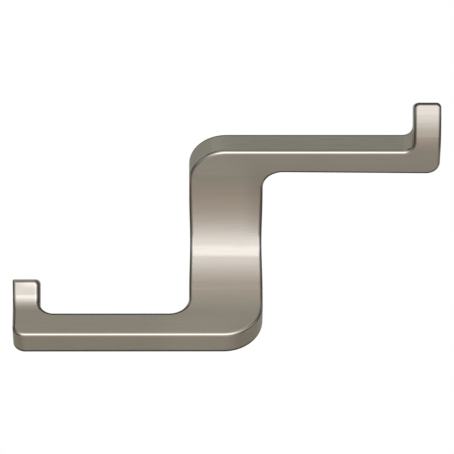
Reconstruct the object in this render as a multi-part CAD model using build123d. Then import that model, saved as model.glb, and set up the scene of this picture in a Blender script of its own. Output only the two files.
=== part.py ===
from build123d import *
from math import asin, cos, radians, sin, tan
import os

# Front view: a strap with an arm to each side and an upright tip on each arm
right_reach = 54.0
left_reach = 54.2
strap_width = 18.7
strap_waist = 0.25
right_arm_root_height = 7.05
right_arm_end_height = 7.5
left_arm_height = 7.4
left_end_taper = 0.3
right_tip_width = 6.85
left_tip_width = 6.95

# Side view: one bar of even thickness, its front hollowed between the arms
bar_thickness = 7.1
hollow_radius = 26.4
lean = 41.0
leaning_run = 7.5

# Right tip: bends back upright in two arcs, then runs straight to its top
right_bend_radius = 10.0
right_bend_angle = 25.0
right_ease_radius = 20.5
right_top_run = 3.05

# Left tip: follows the leaning arm, then bends forward upright
left_run = 8.15
left_bend_radius = 5.7
left_top_run = 3.7

# Corners of the outline, measured on the bar's face
upper_left_corner = 9.4
lower_right_corner = 10.0
inner_corner = 5.1
right_tip_corner = 2.7
left_tip_corner = 3.6
right_outer_corner = 3.4
left_outer_corner = 3.1
top_corner = 1.25

# Rounded edges
front_round = 0.9
back_round = 0.55

# Foot behind the strap, with two tapped holes for screws from behind
foot_depth = 8.0
foot_width = 13.0
foot_height = 32.0
foot_corner = 4.0
foot_blend = 1.5
foot_edge = 0.4
tap_drill = 3.3
tap_depth = 9.0
tap_spacing = 20.0
tap_chamfer = 0.45
drill_point = 118.0

half_strap = strap_width / 2


def step_back(point, heading, distance):
    """A point the given distance behind the front surface."""
    return point + Vector(heading.Y, -heading.X) * distance


def bent_bar(start, heading, steps):
    """Side view of the bar, its front along the steps: each a run's length or a bend's radius and angle."""
    front, back = [], []
    point = start
    for step in steps:
        behind = step_back(point, heading, bar_thickness)
        if isinstance(step, tuple):
            radius, angle = step
            deeper = radius + bar_thickness if angle > 0 else radius - bar_thickness
            front.append(JernArc(point, heading, radius, angle))
            back.append(JernArc(behind, heading, deeper, angle))
            heading = heading.rotate(Axis.Z, angle)
        else:
            front.append(Line(point, point + heading * step))
            back.append(Line(behind, behind + heading * step))
        point = front[-1] @ 1
    first = Line(front[0] @ 0, back[0] @ 0)
    last = Line(front[-1] @ 1, back[-1] @ 1)
    return make_face(front + back + [first, last]), front, back


def across(face, left, right):
    """A side view drawn on the YZ plane, carried from one X to another."""
    return extrude(Plane.YZ.offset(left) * face, right - left)


# Side view on the YZ plane: the first number is Y and the second Z
hollow_front = Vector(-(foot_depth + bar_thickness), 0)
up = Vector(0, 1)
leaning_out = up.rotate(Axis.Z, lean)
leaning_in = up.rotate(Axis.Z, -lean)
rise = hollow_radius * sin(radians(lean))
reach = hollow_radius * (1 - cos(radians(lean)))
upper_root = hollow_front + Vector(-reach, rise)
lower_root = hollow_front + Vector(-reach, -rise)
upper_edge = upper_root + leaning_out * leaning_run
lower_edge = lower_root - leaning_in * leaning_run

upper_side, upper_front, upper_back = bent_bar(
    hollow_front,
    up,
    [
        (hollow_radius, lean),
        leaning_run,
        (right_bend_radius, -right_bend_angle),
        (right_ease_radius, right_bend_angle - lean),
        right_top_run,
    ],
)
lower_side, lower_front, lower_back = bent_bar(
    lower_edge,
    leaning_in,
    [leaning_run, (hollow_radius, lean)],
)
left_side, left_front, left_back = bent_bar(
    lower_edge,
    leaning_in,
    [left_run, (left_bend_radius, lean), left_top_run],
)


def leaning_prism(corners, start, heading):
    """An outline on an arm's leaning face, carried through the bar: each corner is X, height and radius."""
    face = Plane(
        origin=(0, start.X, start.Y),
        x_dir=(1, 0, 0),
        z_dir=(0, -heading.Y, heading.X),
    )
    drawn = make_face(Polyline(*[(x, y) for x, y, _ in corners], close=True))
    for x, y, radius in corners:
        if radius:
            drawn = fillet(drawn.vertices().sort_by_distance((x, y, 0))[0], radius)
    return extrude(face * drawn, far, both=True)


# The bar, cut to its outline: the right arm with its tip, the left arm with its tip, and the strap's waist
far = right_reach + left_reach
right_tip_side = right_reach - right_tip_width
left_tip_side = left_reach - left_tip_width
tip_bend = left_bend_radius * sin(radians(lean)) + left_top_run * cos(radians(lean))
left_top = left_run + tip_bend + bar_thickness * sin(radians(lean))
split = -(half_strap + left_tip_side) / 2
upper_outline = [
    (-half_strap, -far, 0),
    (half_strap, -far, 0),
    (half_strap, leaning_run - right_arm_root_height, inner_corner),
    (right_reach, leaning_run - right_arm_end_height, right_outer_corner),
    (right_reach, far, 0),
    (right_tip_side, far, 0),
    (right_tip_side, leaning_run, right_tip_corner),
    (-half_strap, leaning_run, upper_left_corner),
]
lower_outline = [
    (half_strap, far, 0),
    (-half_strap, far, 0),
    (-half_strap, left_arm_height, inner_corner),
    (-left_tip_side, left_arm_height, left_tip_corner),
    (-left_tip_side, 2 * left_top, 0),
    (-left_reach - left_end_taper, 2 * left_top, 0),
    (left_end_taper - left_reach, 0, left_outer_corner),
    (half_strap, 0, lower_right_corner),
]
root_height = leaning_run - max(right_arm_root_height, left_arm_height)
corner_angle = asin((inner_corner - root_height) / hollow_radius)
waist_reach = 0.9 * hollow_radius * sin(radians(lean) - corner_angle)
waist_zone = Box(far, far, 2 * waist_reach)
upper_bar = across(upper_side, -half_strap, right_reach) - waist_zone
lower_bar = across(left_side, -far, split) + (across(lower_side, split, half_strap) - waist_zone)
hook = upper_bar & leaning_prism(upper_outline, upper_root, leaning_out)
hook += lower_bar & leaning_prism(lower_outline, lower_edge, leaning_in)

right_waist = Spline(
    (half_strap, -waist_reach),
    (half_strap - strap_waist, 0),
    (half_strap, waist_reach),
    tangents=[(0, 1), (0, 1)],
)
left_waist = mirror(right_waist, about=Plane.YZ)
waist_ends = [
    Line(right_waist @ 0, left_waist @ 0),
    Line(right_waist @ 1, left_waist @ 1),
]
waist = make_face([right_waist, left_waist] + waist_ends)
strap_bar = across(upper_side, -half_strap, half_strap) + across(lower_side, -half_strap, half_strap)
hook += strap_bar & extrude(Plane.XZ * waist, far, both=True)


def top_edges(body, front):
    """The two edges through the bar's thickness at the top of a tip."""
    top = front[-1] @ 1
    through = body.edges().filter_by(Axis.Y)
    return [edge for edge in through if abs(edge.center().Z - top.Y) < 0.01]


hook = fillet(top_edges(hook, upper_front) + top_edges(hook, left_front), top_corner)


def outline(body, paths):
    """Edges around the faces that lie on the given side-view paths."""
    drawn = [Plane.YZ * edge for path in paths for edge in path]

    def lies_on(face):
        middle = face.center()
        seen = Vertex(0, middle.Y, middle.Z)
        return min(edge.distance_to(seen) for edge in drawn) < 0.01

    edges = [edge for face in body.faces() if lies_on(face) for edge in face.edges()]
    return [a for a in edges if sum(a.is_same(b) for b in edges) == 1]


fronts = [upper_front, lower_front, left_front]
backs = [upper_back, lower_back, left_back]
hook = fillet(outline(hook, fronts), front_round)
hook = fillet(outline(hook, backs), back_round)

# Foot: a pad from the wall into the strap's back, blended where the two meet
wall = Plane(origin=(0, 0, 0), x_dir=(1, 0, 0), z_dir=(0, -1, 0))
pad = RectangleRounded(foot_width, foot_height, foot_corner)
foot = extrude(wall * pad, foot_depth + 0.75 * bar_thickness)
rim = foot.edges().group_by(Axis.Y)[-1]
hook += fillet(rim, foot_edge)


def meets_strap(edge):
    """True for an edge of the seam between the foot and the strap's round back."""
    middle = edge @ 0.5
    inside = abs(middle.X) <= foot_width / 2 + 0.01 and abs(middle.Z) <= foot_height / 2 + 0.01
    return inside and -foot_depth - bar_thickness < middle.Y < -foot_depth + 0.01


seam = [edge for edge in hook.edges() if meets_strap(edge)]
hook = fillet(seam, foot_blend)

# Tapped holes, drawn at drill size
tap_radius = tap_drill / 2
point_depth = tap_radius / tan(radians(drill_point / 2))
mouth = tap_radius + tap_chamfer
drill = make_face(
    Polyline(
        (0, 0),
        (mouth, 0),
        (tap_radius, -tap_chamfer),
        (tap_radius, -tap_depth),
        (0, -tap_depth - point_depth),
        close=True,
    )
)
for height in (-tap_spacing / 2, tap_spacing / 2):
    hook -= Pos(0, 0, height) * revolve(Plane.XY * drill, Axis.Y)

os.makedirs("parts", exist_ok=True)
export_step(hook, "parts/hook.step")
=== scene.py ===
import math

import bpy
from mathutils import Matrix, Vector

bl_info = {
    "name": "Coat hook",
    "version": (1, 0, 0),
    "blender": (4, 5, 0),
    "location": "3D View > Sidebar > Hook",
    "description": "Finishes a cast satin nickel coat hook and sets up its studio",
    "category": "Object",
}

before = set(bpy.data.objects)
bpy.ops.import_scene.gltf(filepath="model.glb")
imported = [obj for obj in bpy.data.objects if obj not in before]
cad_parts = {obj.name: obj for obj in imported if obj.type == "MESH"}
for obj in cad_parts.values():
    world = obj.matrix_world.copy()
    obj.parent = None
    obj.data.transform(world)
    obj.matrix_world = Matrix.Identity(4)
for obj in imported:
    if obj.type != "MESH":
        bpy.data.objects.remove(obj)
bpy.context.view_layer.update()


# Shader maths


class Socket:
    """A node's output in an expression, in which each operator adds its own Math node."""

    def __init__(self, tree, link):
        self.tree = tree
        self.link = link

    def _math(self, operation, *values):
        return self.tree.node("ShaderNodeMath", {"operation": operation}, values)

    def __add__(self, other):
        return self._math("ADD", self, other)

    def __sub__(self, other):
        return self._math("SUBTRACT", self, other)

    def __rsub__(self, other):
        return self._math("SUBTRACT", other, self)

    def __mul__(self, other):
        return self._math("MULTIPLY", self, other)

    def __truediv__(self, other):
        return self._math("DIVIDE", self, other)

    def __lt__(self, other):
        return self._math("LESS_THAN", self, other)

    def size(self):
        return self._math("ABSOLUTE", self)

    def maximum(self, other):
        return self._math("MAXIMUM", self, other)

    def minimum(self, other):
        return self._math("MINIMUM", self, other)

    def angle_from(self, ahead):
        return self._math("ARCTAN2", self, ahead)

    def near(self, middle, reach):
        """One within the reach of the middle, and nought elsewhere."""
        return (self - middle).size() < reach

    def rise(self, low, high, start=0.0, end=1.0):
        """The start up to the low value, the end from the high one on, and smooth between."""
        values = {"Value": self, "From Min": low, "From Max": high, "To Min": start, "To Max": end}
        return self.tree.node("ShaderNodeMapRange", {"interpolation_type": "SMOOTHSTEP"}, values)

    def band(self, begins, full, fades, gone):
        """One from full to where it fades, and nought outside, with smooth ends."""
        return self.rise(begins, full) - self.rise(fades, gone)

    __radd__ = __add__
    __rmul__ = __mul__


class Tree:
    """A node tree that nodes are added to by type, settings and socket values."""

    def __init__(self, owner):
        owner.use_nodes = True
        self.nodes = owner.node_tree.nodes
        self.links = owner.node_tree.links
        self.nodes.clear()

    def node(self, kind, settings=None, values=(), output=0):
        """Adds a node. Settings come first, then the values or links of its sockets."""
        made = self.nodes.new(kind)
        for name, value in (settings or {}).items():
            if name == "stops":
                self._set_stops(made.color_ramp, value)
            else:
                setattr(made, name, value)
        named = values.items() if isinstance(values, dict) else enumerate(values)
        for name, value in named:
            if isinstance(value, Socket):
                self.links.new(value.link, made.inputs[name])
            else:
                made.inputs[name].default_value = value
        return Socket(self, made.outputs[output]) if made.outputs else made

    @staticmethod
    def _set_stops(ramp, stops):
        while len(ramp.elements) > 1:
            ramp.elements.remove(ramp.elements[-1])
        for index, (place, colour) in enumerate(stops):
            element = ramp.elements[0] if index == 0 else ramp.elements.new(place)
            element.position = place
            element.color = (*colour, 1.0)


# Sizes and colours a user would change


class NickelSettings(bpy.types.PropertyGroup):
    colour: bpy.props.FloatVectorProperty(
        name="Colour",
        description="Colour of the nickel plating",
        subtype="COLOR",
        size=3,
        min=0.0,
        max=1.0,
        default=(0.66, 0.585, 0.49),
    )
    # Painted highlight: this colour brightens the ridges, the left tip and the strap's sides where
    # reflections fall, and is no rubbed or polished edge
    painted_highlight: bpy.props.FloatVectorProperty(
        name="Polished edge",
        description="Colour of the plating where edges are rubbed bright",
        subtype="COLOR",
        size=3,
        min=0.0,
        max=1.0,
        default=(0.96, 0.88, 0.77),
    )
    # Painted shade: this colour darkens the arms' rims, the right tip's top, the left tip's inside and the
    # strap's right side where shade falls, and is no darkened plating. The brushing marks take it too, as
    # real grain
    painted_shade_and_brush_marks: bpy.props.FloatVectorProperty(
        name="Darkened edge",
        description="Colour of the plating where edges have darkened",
        subtype="COLOR",
        size=3,
        min=0.0,
        max=1.0,
        default=(0.20, 0.18, 0.155),
    )
    roughness: bpy.props.FloatProperty(
        name="Roughness",
        description="How far the satin finish blurs a reflection",
        subtype="FACTOR",
        min=0.0,
        max=1.0,
        default=0.12,
    )
    grain: bpy.props.FloatProperty(
        name="Grain",
        description="Length of the fine marks of the satin brushing",
        subtype="DISTANCE",
        unit="LENGTH",
        default=0.0006,
    )


class StudioSettings(bpy.types.PropertyGroup):
    aim: bpy.props.FloatVectorProperty(
        name="Aim",
        description="Point on the strap's front that the camera looks at",
        subtype="TRANSLATION",
        unit="LENGTH",
        size=3,
        default=(0.0003, -0.0151, 0.0040),
    )
    distance: bpy.props.FloatProperty(
        name="Camera distance",
        description="From the camera to the point it looks at",
        subtype="DISTANCE",
        unit="LENGTH",
        default=0.9,
    )
    elevation: bpy.props.FloatProperty(
        name="Camera elevation",
        description="Height of the camera above the level of the hook, as an angle",
        subtype="ANGLE",
        unit="ROTATION",
        default=math.radians(1.09),
    )
    azimuth: bpy.props.FloatProperty(
        name="Camera azimuth",
        description="Turn of the camera round the hook, to its right",
        subtype="ANGLE",
        unit="ROTATION",
        default=math.radians(-0.59),
    )
    view_angle: bpy.props.FloatProperty(
        name="View angle",
        description="The camera's field of view",
        subtype="ANGLE",
        unit="ROTATION",
        default=math.radians(7.356),
    )
    floor_drop: bpy.props.FloatProperty(
        name="Floor drop",
        description="From the wall foot's centre down to the floor",
        subtype="DISTANCE",
        unit="LENGTH",
        default=0.55,
    )
    floor_radius: bpy.props.FloatProperty(
        name="Floor radius",
        description="Radius of the round floor",
        subtype="DISTANCE",
        unit="LENGTH",
        default=0.32,
    )


# Materials


# The arms' front faces lean by this angle. The plane of each passes this far in front of the foot's centre,
# and the bar is this thick behind it
ARM_LEAN = math.radians(41.0)
ARM_FACE = 0.00492
BAR_DEPTH = 0.0071

# Places for the painted highlights and painted shade, in metres from the foot's centre: a middle and the
# reach to each side of it. A level is a height, either up or down
RIDGE_LEVELS = (0.0205, 0.0055)
ARM_LEVELS = (0.0215, 0.0075)
LEFT_BEND_HEIGHTS = (-0.0125, 0.0048)
LEFT_TIP_INNER_EDGE = (-0.0483, 0.00016)

# Places with soft ends: where each begins and is full, and for some also where it fades and is gone
STRAP_EDGE_HEIGHTS = (-0.0135, -0.0050, 0.0005, 0.0025)
STRAP_SHADE_HEIGHTS = (0.0012, 0.0034, 0.0130, 0.0220)
STRAP_SHADE_ASIDE = (0.0035, 0.0090)
STRAP_END_LEVELS = (0.0160, 0.0200)
STRAP_END_MIDDLE = -0.007
STRAP_END_REACH = (0.005, 0.014)
ARC_LEVELS = (0.0140, 0.0165)
LEFT_TIP_HEIGHTS = (-0.0170, -0.0150)
LEFT_TIP_TOP = (-0.0118, -0.0104)
LEFT_TIP_ASIDE = (-0.0535, -0.0495)
RIGHT_TIP_TOP = (0.0336, 0.0340)

# Places that end sharply: the strap's half width with a margin, and how far left the left tip's parts begin
STRAP_HALF = 0.0100
LEFT_TIP = -0.0475
LEFT_TIP_BEND = -0.046
LEFT_TIP_INSIDE = -0.040

# Depths into a leaning bar: the rounded front edge, the rims painted dark on it, and the rear rim, painted
# dark too, which lies a little deeper on the high arm
FRONT_ROUND = 0.0010
RIM_DEPTH = 0.00105
RIDGE_SHADE_DEPTH = 0.00088
REAR_RIM = (BAR_DEPTH - 0.00115, BAR_DEPTH - 0.00085)
HIGH_REAR_SHIFT = 0.0003

# How far a surface faces one way, from nought edge on to one straight on, with soft ends as above
RIDGE_AHEAD = (0.95, 0.992)
LEFT_BEND_UP = (0.08, 0.16, 0.36, 0.50)
LEFT_INSIDE_RIGHT = (0.004, 0.25)
STRAP_EDGE_ASIDE = (0.03, 0.12, 0.35, 0.60)
ARC_ASIDE = (0.46, 0.60)
RIM_UP = (0.67, 0.76)
RIDGE_SHADE_UP = (0.56, 0.70)
REAR_RIM_UP = (0.10, 0.30)
RIGHT_TOP_UP = (0.10, 0.45)

# A surface counts as a front where it faces back by less than this
TIP_FRONT = -0.9
BEND_FRONT = -0.5
STRAP_END_FRONT = -0.6
STRAP_FRONT = -0.3
REAR_RIM_FRONT = -0.1

# How much of the painted highlight or the painted shade colour a part takes, where that is not all of it.
# The brushing marks take the shade colour too, as real grain
LEFT_BEND_SHARE = 0.5
LEFT_EDGE_SHARE = 0.5
LEFT_TOP_SHARE = 0.45
STRAP_END_SHARE = 0.14
STRAP_EDGE_SHARE = 0.75
LEFT_INSIDE_SHARE = 0.75
STRAP_SHADE_SHARE = 0.22
BRUSHING_SHARE = 0.055

# The brushing's marks run along the arms: their width over their length, and how far they and some
# broader clouds change the roughness
BRUSHING_STRETCH = 0.08
BRUSHING_ROUGHNESS = 0.06
CLOUD_ROUGHNESS = 0.04
BRUSHING_MARKS = (0.50, 0.72)


def axes_of(tree, vector):
    """The three parts of a vector socket."""
    apart = tree.node("ShaderNodeSeparateXYZ", values=[vector])
    return [Socket(tree, apart.link.node.outputs[axis]) for axis in "XYZ"]


def painted_light_masks(tree, place):
    """Two masks of painted light: painted highlights on the ridges, the left tip's bend, inner edge and top,
    the strap's ends and sides and the corner arcs, and painted shade on the arms' rims, the right tip's top,
    the left tip's inside and the strap's right side.
    """
    aside, inward, height = axes_of(tree, place)
    right, back, up = axes_of(tree, tree.node("ShaderNodeTexCoord", output="Normal"))
    ahead = back * -1.0
    level = height.size()
    sideways = right.size()
    depth = inward * math.cos(ARM_LEAN) + level * math.sin(ARM_LEAN) + ARM_FACE
    on_strap = aside.size() < STRAP_HALF

    # Painted highlights: the ridge lines, the left tip's bend, inner edge and top, the strap's ends and
    # sides, and the corner arcs
    ridges = ahead.rise(*RIDGE_AHEAD) * level.near(*RIDGE_LEVELS)
    left_bend = up.band(*LEFT_BEND_UP) * height.near(*LEFT_BEND_HEIGHTS)
    left_bend = left_bend * (aside < LEFT_TIP_BEND) * (back < BEND_FRONT)
    left_edge = aside.near(*LEFT_TIP_INNER_EDGE) * height.rise(*LEFT_TIP_HEIGHTS) * (back < TIP_FRONT)
    left_top = height.rise(*LEFT_TIP_TOP) * aside.rise(*LEFT_TIP_ASIDE)
    left_top = left_top * (aside < LEFT_TIP) * (back < TIP_FRONT)
    strap_ends = (aside - STRAP_END_MIDDLE).size().rise(*STRAP_END_REACH, 1.0, 0.0)
    strap_ends = strap_ends * level.rise(*STRAP_END_LEVELS) * (back < STRAP_END_FRONT)
    strap_edges = sideways.band(*STRAP_EDGE_ASIDE) * height.band(*STRAP_EDGE_HEIGHTS) * on_strap
    arcs = level.rise(*ARC_LEVELS) * sideways.rise(*ARC_ASIDE) * (depth < FRONT_ROUND)
    arcs = arcs * (aside * height < 0.0) * on_strap
    left_tip = left_bend * LEFT_BEND_SHARE + left_edge * LEFT_EDGE_SHARE + left_top * LEFT_TOP_SHARE
    strap = strap_ends * STRAP_END_SHARE + strap_edges * STRAP_EDGE_SHARE
    bright = (ridges + left_tip + strap + arcs).minimum(1.0)

    # Painted shade: dark rims on the arms, the right tip's top, the left tip's inside and the strap's right
    # side
    low = height < 0.0
    high = 1.0 - low
    low_rim = up.rise(*RIM_UP) * (depth.size() < RIM_DEPTH) * low
    high_rim = (up * -1.0).rise(*RIM_UP) * (depth.size() < RIM_DEPTH) * high
    ridge_shade = up.rise(*RIDGE_SHADE_UP) * (depth.size() < RIDGE_SHADE_DEPTH) * high
    rear_rim = (depth - high * HIGH_REAR_SHIFT).rise(*REAR_RIM) * up.size().rise(*REAR_RIM_UP)
    rear_rim = rear_rim * (back < REAR_RIM_FRONT)
    rims = (low_rim + high_rim + ridge_shade + rear_rim) * level.near(*ARM_LEVELS)
    right_top = up.rise(*RIGHT_TOP_UP) * height.rise(*RIGHT_TIP_TOP)
    left_inside = right.rise(*LEFT_INSIDE_RIGHT) * (aside < LEFT_TIP_INSIDE)
    strap_shade = aside.rise(*STRAP_SHADE_ASIDE) * height.band(*STRAP_SHADE_HEIGHTS) * (back < STRAP_FRONT)
    dark = rims + right_top + left_inside * LEFT_INSIDE_SHARE + strap_shade * STRAP_SHADE_SHARE
    return bright, dark


def mixed_colour(tree, mask, first, second):
    """The first colour where the mask is nought, and the second where it is one."""
    values = {"Factor": mask, 6: first, 7: second}
    return tree.node("ShaderNodeMix", {"data_type": "RGBA"}, values, output=2)


def satin_nickel(settings):
    """Plated nickel with a fine satin brushing along the arms, and with painted highlights and painted shade
    on its edges and strap.
    """
    material = bpy.data.materials.new("satin_nickel_finish")
    tree = Tree(material)
    place = tree.node("ShaderNodeTexCoord", output="Object")
    across = 1.0 / settings.grain
    along = across * BRUSHING_STRETCH
    stretched = tree.node("ShaderNodeMapping", values={"Vector": place, "Scale": (along, across, across)})
    brushing = tree.node(
        "ShaderNodeTexNoise",
        values={"Vector": stretched, "Scale": 1.0, "Detail": 3.0, "Roughness": 0.6},
    )
    clouds = tree.node(
        "ShaderNodeTexNoise",
        values={"Vector": place, "Scale": 90.0, "Detail": 2.0},
    )
    roughness = (brushing - 0.5) * BRUSHING_ROUGHNESS + (clouds - 0.5) * CLOUD_ROUGHNESS + settings.roughness
    bump = tree.node(
        "ShaderNodeBump",
        values={"Strength": 0.35, "Distance": 0.00002, "Height": brushing},
    )
    bright, dark = painted_light_masks(tree, place)
    # The brushing marks are real grain, and they darken the plating with the same colour as the painted
    # shade
    dark = (dark + brushing.rise(*BRUSHING_MARKS) * BRUSHING_SHARE).minimum(1.0)
    # The plating colour with the painted highlights laid on
    plating = mixed_colour(tree, bright, (*settings.colour, 1.0), (*settings.painted_highlight, 1.0))
    shader = tree.node(
        "ShaderNodeBsdfPrincipled",
        values={
            "Base Color": mixed_colour(tree, dark, plating, (*settings.painted_shade_and_brush_marks, 1.0)),
            "Metallic": 1.0,
            "Roughness": roughness,
            "Normal": bump,
        },
    )
    tree.node("ShaderNodeOutputMaterial", values={"Surface": shader})
    return material


def pale_floor(settings):
    """Matt pale floor that fades to the white background at its rim."""
    material = bpy.data.materials.new("pale_floor")
    tree = Tree(material)
    place = tree.node("ShaderNodeTexCoord", output="Object")
    distance = tree.node("ShaderNodeVectorMath", {"operation": "LENGTH"}, [place], output="Value")
    fade = distance.rise(settings.floor_radius * 0.45, settings.floor_radius * 0.95)
    camera = tree.node("ShaderNodeLightPath", output="Is Camera Ray")
    matt = tree.node("ShaderNodeBsdfDiffuse", values={"Color": (0.82, 0.82, 0.81, 1.0)})
    white = tree.node("ShaderNodeEmission", values={"Color": (1.0, 1.0, 1.0, 1.0), "Strength": 1.0})
    seen = tree.node("ShaderNodeMixShader", values=[fade * camera, matt, white])
    glossy = tree.node("ShaderNodeLightPath", output="Is Glossy Ray")
    clear = tree.node("ShaderNodeBsdfTransparent")
    mixed = tree.node("ShaderNodeMixShader", values=[glossy, seen, clear])
    tree.node("ShaderNodeOutputMaterial", values={"Surface": mixed})
    return material


# Brightness of the studio by direction: degrees up from straight ahead, over the top to straight behind,
# and below nought the same way round underneath. The levels from -80 to 70 follow the strap's brightness as
# sampled from the photo, thinned, rounded and adjusted, so the strap's match to it is no independent test
STUDIO_BANDS = [
    (-180.0, 0.30),
    (-150.0, 0.27),
    (-106.0, 0.27),
    (-101.5, 0.355),
    (-80.0, 0.395),
    (-55.0, 0.44),
    (-38.0, 0.52),
    (-26.0, 0.655),
    (-19.0, 0.78),
    (-10.0, 0.97),
    (-4.0, 1.12),
    (1.9, 1.17),
    (2.8, 1.42),
    (13.7, 1.44),
    (14.1, 0.97),
    (17.0, 1.00),
    (19.0, 1.00),
    (25.0, 0.87),
    (36.0, 0.67),
    (45.0, 0.54),
    (48.5, 0.60),
    (53.0, 0.53),
    (70.0, 0.45),
    (83.4, 0.38),
    (84.4, 0.04),
    (95.2, 0.04),
    (96.4, 0.36),
    (120.0, 0.34),
    (150.0, 0.33),
    (180.0, 0.30),
]

# Green and blue of the studio's light over its red: at a level of nought, then what the level adds, and
# then what its square adds. They follow the same samples
GREEN_SHARE = (0.820, 0.363, -0.142)
BLUE_SHARE = (0.598, 0.817, -0.299)

# Tints of the studio between two directions, as factors on its red, green and blue
STUDIO_TINTS = [
    (-180.0, -90.0, (1.0, 1.08, 1.12)),
    (-90.0, -70.0, (0.92, 0.985, 1.04)),
    (60.0, 90.0, (0.96, 1.02, 1.07)),
    (90.0, 180.0, (0.97, 1.12, 1.19)),
]

# The studio has a dark gap underneath, towards the back: its two ends, how far its sides reach, and how
# much light it takes away
GAP_START = -104.0
GAP_END = -150.0
GAP_SIDES = (0.10, 0.30)
GAP_STRENGTH = 0.88

# It also falls off to the sides: from where to where, what is left, and less so up and down at the back
SIDES = (0.12, 0.92)
SIDE_STRENGTH = 0.27
CORNER_LIFT = 1.9


def around(degrees):
    """A direction of the studio as a place on the ramp, from nought to one."""
    return degrees / 360.0 + 0.5


def studio_colour(degrees, level):
    """Light of a band: cooler where it is brighter, and greener from overhead round to underneath."""
    tint = (1.0, 1.0, 1.0)
    for first, last, factors in STUDIO_TINTS:
        if first <= degrees <= last:
            tint = factors
    shares = [1.0]
    for plain, linear, square in (GREEN_SHARE, BLUE_SHARE):
        shares.append(plain + linear * level + square * level**2)
    return [level * factor * share for factor, share in zip(tint, shares)]


def studio_world(world):
    """White for the camera, and for reflections a soft studio in level bands, darker at its sides."""
    tree = Tree(world)
    to_right, to_back, upwards = axes_of(tree, tree.node("ShaderNodeTexCoord", output="Generated"))
    turn = upwards.angle_from(to_back * -1.0) / (2 * math.pi) + 0.5
    stops = [(around(degrees), studio_colour(degrees, level)) for degrees, level in STUDIO_BANDS]
    bands = tree.node("ShaderNodeValToRGB", {"stops": stops}, [turn])
    corners = (to_back * upwards.size()).maximum(0.0)
    beside = (to_right.size() - corners * CORNER_LIFT).rise(*SIDES, 1.0, SIDE_STRENGTH)
    gap = to_right.size().rise(*GAP_SIDES, GAP_STRENGTH, 0.0)
    gap = gap * ((turn < around(GAP_START)) - (turn < around(GAP_END)))
    studio = tree.node("ShaderNodeBackground", values={"Color": bands, "Strength": beside * (1.0 - gap)})
    white = tree.node("ShaderNodeBackground", values={"Color": (1.0, 1.0, 1.0, 1.0), "Strength": 1.0})
    path = tree.node("ShaderNodeLightPath", output="Is Camera Ray")
    mixed = tree.node("ShaderNodeMixShader", values=[path, studio, white])
    tree.node("ShaderNodeOutputWorld", values={"Surface": mixed})


# Operators


def deselect_all():
    """Clears the selection, so that an operator acts only on what it adds."""
    for thing in bpy.context.selected_objects:
        thing.select_set(False)


class HOOK_OT_finish_casting(bpy.types.Operator):
    """Gives the cast hook its satin nickel finish."""

    bl_idname = "hook.finish_casting"
    bl_label = "Finish the casting"

    def execute(self, context):
        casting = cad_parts["hook"]
        nickel = satin_nickel(context.scene.hook_nickel)
        casting.data.materials.clear()
        casting.data.materials.append(nickel)
        return {"FINISHED"}


class HOOK_OT_set_stage(bpy.types.Operator):
    """Adds the floor, the soft studio and the camera."""

    bl_idname = "hook.set_stage"
    bl_label = "Set the stage"

    def execute(self, context):
        scene = context.scene
        studio = scene.hook_studio
        deselect_all()
        bpy.ops.mesh.primitive_circle_add(
            vertices=96,
            radius=studio.floor_radius,
            fill_type="NGON",
            location=(0.0, 0.0, -studio.floor_drop),
        )
        floor = context.active_object
        floor.name = "studio_floor"
        floor.data.materials.append(pale_floor(studio))

        world = bpy.data.worlds.new("studio")
        scene.world = world
        studio_world(world)

        away = Vector(
            (
                math.sin(studio.azimuth) * math.cos(studio.elevation),
                -math.cos(studio.azimuth) * math.cos(studio.elevation),
                math.sin(studio.elevation),
            )
        )
        bpy.ops.object.camera_add(location=Vector(studio.aim) + away * studio.distance)
        camera = context.active_object
        camera.name = "photo_camera"
        camera.rotation_euler = (-away).to_track_quat("-Z", "Y").to_euler()
        camera.data.angle = studio.view_angle
        camera.data.clip_start = 0.01
        scene.camera = camera
        scene.view_settings.view_transform = "Standard"
        return {"FINISHED"}


class HOOK_PT_build(bpy.types.Panel):
    """Lists the steps that dress the hook."""

    bl_idname = "HOOK_PT_build"
    bl_label = "Coat hook"
    bl_space_type = "VIEW_3D"
    bl_region_type = "UI"
    bl_category = "Hook"

    def draw(self, context):
        layout = self.layout
        nickel = context.scene.hook_nickel
        for name in ("colour", "painted_highlight", "painted_shade_and_brush_marks", "roughness", "grain"):
            layout.prop(nickel, name)
        layout.operator(HOOK_OT_finish_casting.bl_idname)
        studio = context.scene.hook_studio
        for name in ("aim", "distance", "elevation", "azimuth", "view_angle", "floor_drop", "floor_radius"):
            layout.prop(studio, name)
        layout.operator(HOOK_OT_set_stage.bl_idname)


CLASSES = (
    NickelSettings,
    StudioSettings,
    HOOK_OT_finish_casting,
    HOOK_OT_set_stage,
    HOOK_PT_build,
)


def register():
    for item in CLASSES:
        bpy.utils.register_class(item)
    bpy.types.Scene.hook_nickel = bpy.props.PointerProperty(type=NickelSettings)
    bpy.types.Scene.hook_studio = bpy.props.PointerProperty(type=StudioSettings)


def unregister():
    del bpy.types.Scene.hook_studio
    del bpy.types.Scene.hook_nickel
    for item in reversed(CLASSES):
        bpy.utils.unregister_class(item)


def main():
    register()
    bpy.ops.hook.finish_casting()
    bpy.ops.hook.set_stage()


if __name__ == "__main__":
    main()
